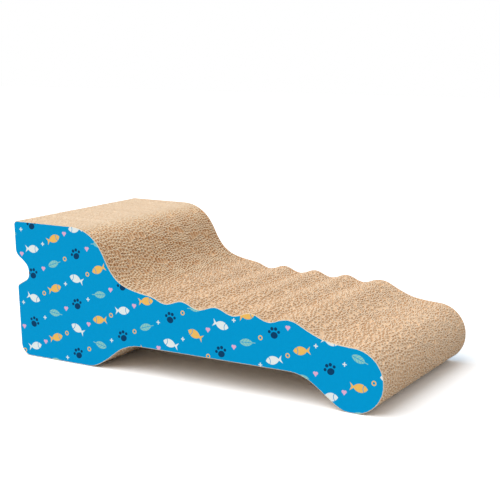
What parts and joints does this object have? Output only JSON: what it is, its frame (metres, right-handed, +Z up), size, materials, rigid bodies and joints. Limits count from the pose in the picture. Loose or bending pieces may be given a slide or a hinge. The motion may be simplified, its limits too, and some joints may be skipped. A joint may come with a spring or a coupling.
{
  "type": "cat scratcher pad",
  "caption": "Lounge-shaped cat scratching block of corrugated boards glued on edge, with raised head, waved bed, rounded nose, arch, finger notch and printed sides; used either way up.",
  "frame": {"origin": "on the floor, in the middle of the pad's length and width", "axes": "+X from the raised head to the rounded nose, +Y from the near printed side to the far one, +Z up"},
  "size_m": [0.4396, 0.2162, 0.149],
  "materials": {
    "kraft_board": "matt unbleached kraft, open fluted edges",
    "printed_paper": "smooth printed paper with a slight sheen, blue with a small scattered print"
  },
  "bodies": {
    "root": {"outer_board_near": "kraft_board", "core_board_01": "kraft_board", "core_board_02": "kraft_board", "core_board_03": "kraft_board", "core_board_04": "kraft_board", "core_board_05": "kraft_board", "core_board_06": "kraft_board", "core_board_07": "kraft_board", "core_board_08": "kraft_board", "core_board_09": "kraft_board", "core_board_10": "kraft_board", "core_board_11": "kraft_board", "core_board_12": "kraft_board", "core_board_13": "kraft_board", "core_board_14": "kraft_board", "core_board_15": "kraft_board", "core_board_16": "kraft_board", "core_board_17": "kraft_board", "core_board_18": "kraft_board", "core_board_19": "kraft_board", "core_board_20": "kraft_board", "core_board_21": "kraft_board", "core_board_22": "kraft_board", "core_board_23": "kraft_board", "core_board_24": "kraft_board", "core_board_25": "kraft_board", "core_board_26": "kraft_board", "core_board_27": "kraft_board", "core_board_28": "kraft_board", "core_board_29": "kraft_board", "core_board_30": "kraft_board", "core_board_31": "kraft_board", "core_board_32": "kraft_board", "core_board_33": "kraft_board", "core_board_34": "kraft_board", "core_board_35": "kraft_board", "core_board_36": "kraft_board", "core_board_37": "kraft_board", "core_board_38": "kraft_board", "core_board_39": "kraft_board", "core_board_40": "kraft_board", "core_board_41": "kraft_board", "outer_board_far": "kraft_board", "printed_facing_near": "printed_paper", "printed_facing_far": "printed_paper"}
  },
  "joints": []
}
